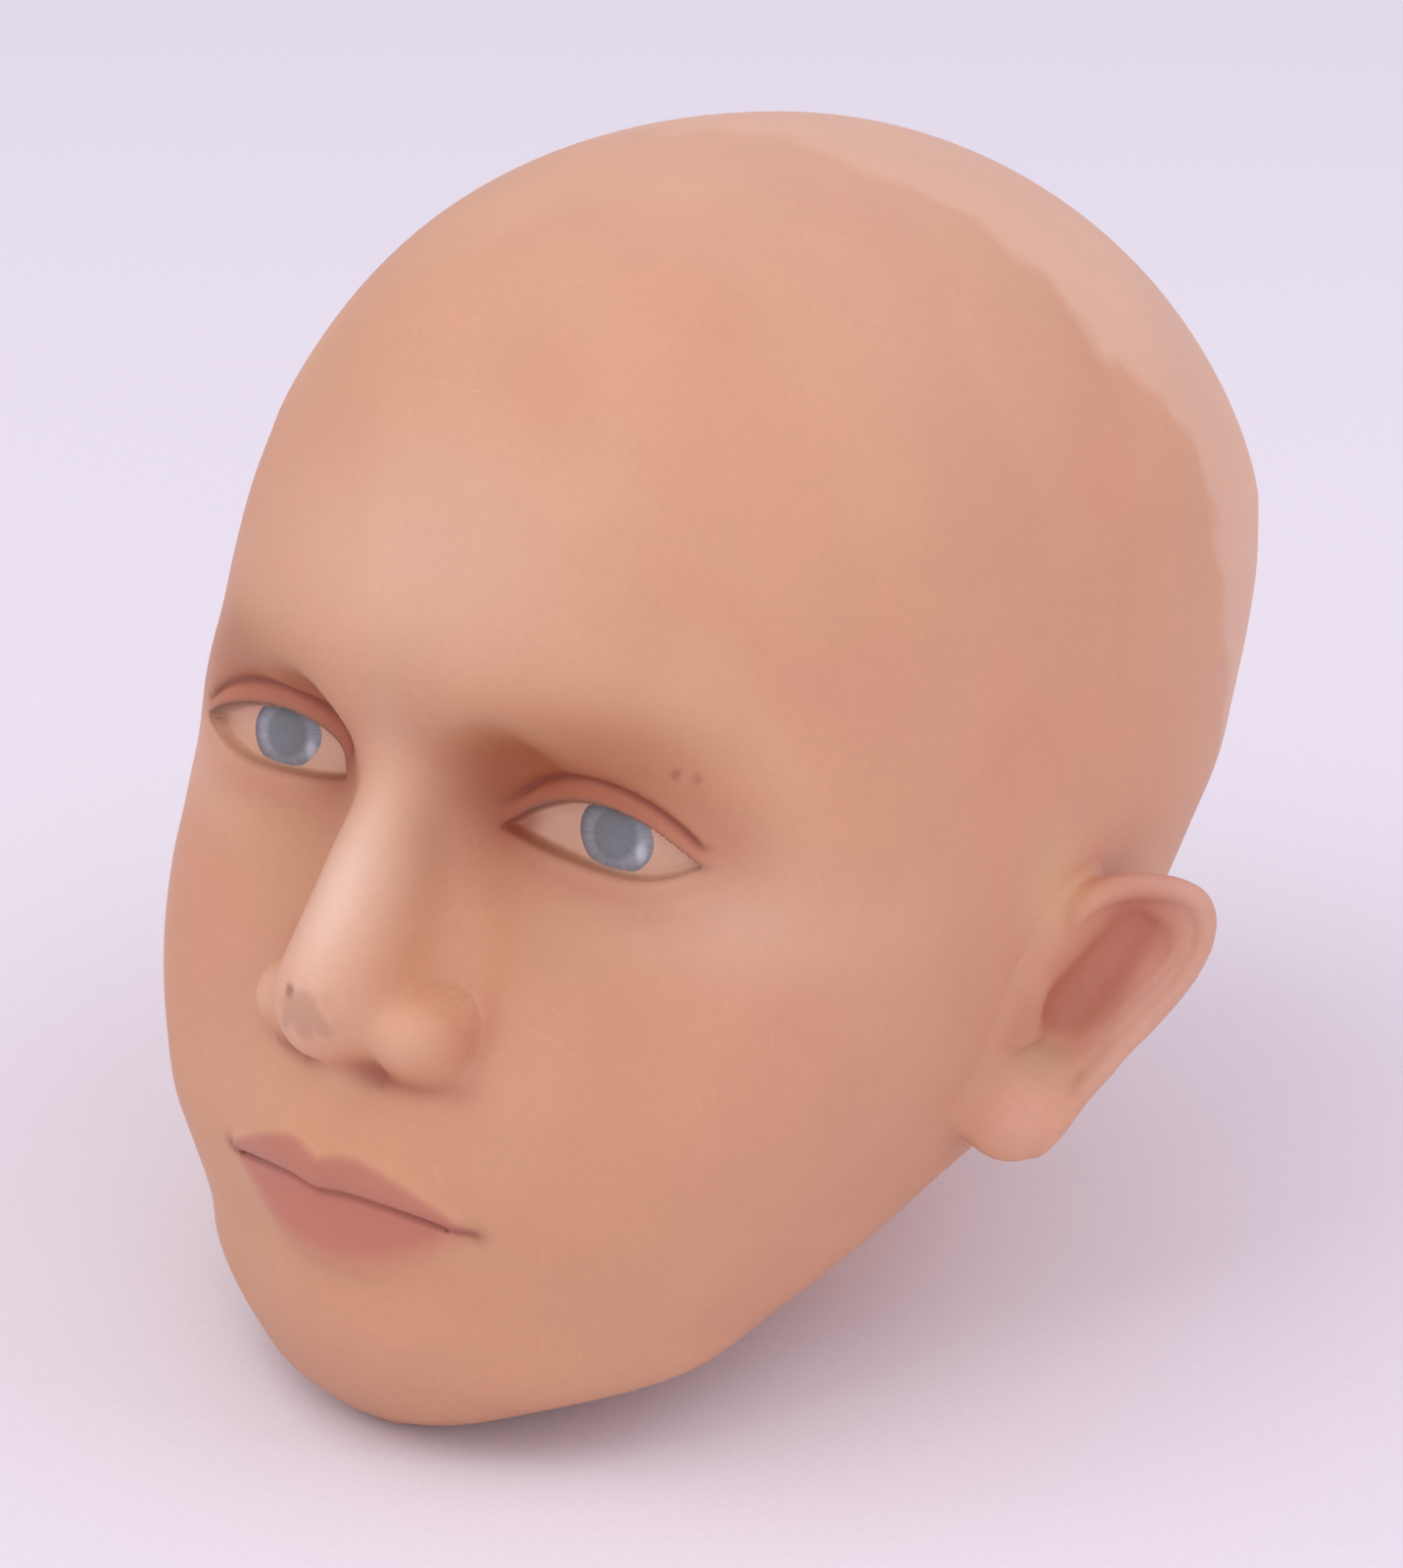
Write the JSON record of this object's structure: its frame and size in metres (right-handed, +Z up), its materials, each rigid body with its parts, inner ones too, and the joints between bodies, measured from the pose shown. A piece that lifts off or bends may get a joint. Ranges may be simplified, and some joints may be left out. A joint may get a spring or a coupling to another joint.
{
  "type": "mannequin training head",
  "caption": "Bald painted display head in two bonded shells with set-in eyes and ears, a closed neck plug and a friction-held turning socket for a stand post.",
  "frame": {"origin": "centre of the post bore's mouth, on the plane of the neck rim", "axes": "+Z up along the post bore, face along -Y, the head's own left along +X"},
  "size_m": [0.1682, 0.2049, 0.1781],
  "materials": {
    "painted_skin": "airbrushed matt flesh paint on glass-fibre laminate",
    "painted_eye": "painted and varnished eye blank",
    "putty": "set filler",
    "laminate": "raw glass-fibre laminate",
    "plywood": "sealed birch plywood",
    "plated_steel": "zinc plated",
    "nylon": "natural nylon",
    "fibre": "vulcanised fibre",
    "rubber": "moulded black rubber"
  },
  "bodies": {
    "head": {"face_shell": "painted_skin", "back_shell": "painted_skin", "left_ear": "painted_skin", "right_ear": "painted_skin", "left_eye": "painted_eye", "right_eye": "painted_eye", "left_eye_bedding": "putty", "right_eye_bedding": "putty", "seam_strip": "laminate", "board_bond": "laminate", "neck_board": "plywood", "bearing_flange": "plated_steel", "flange_screws": "plated_steel", "stop_pin": "plated_steel", "swivel_bush": "nylon", "friction_washer": "fibre"},
    "socket": {"post_socket": "plated_steel", "post_pad": "rubber", "thrust_washer": "plated_steel", "tension_spring": "plated_steel", "retaining_nut": "plated_steel"}
  },
  "joints": [
    {"name": "head_turn", "type": "hinge", "parent": "head", "child": "socket", "pos_m": [0, 0, 0], "axis": [0, 0, 1], "range_deg": [-84, 84]}
  ]
}
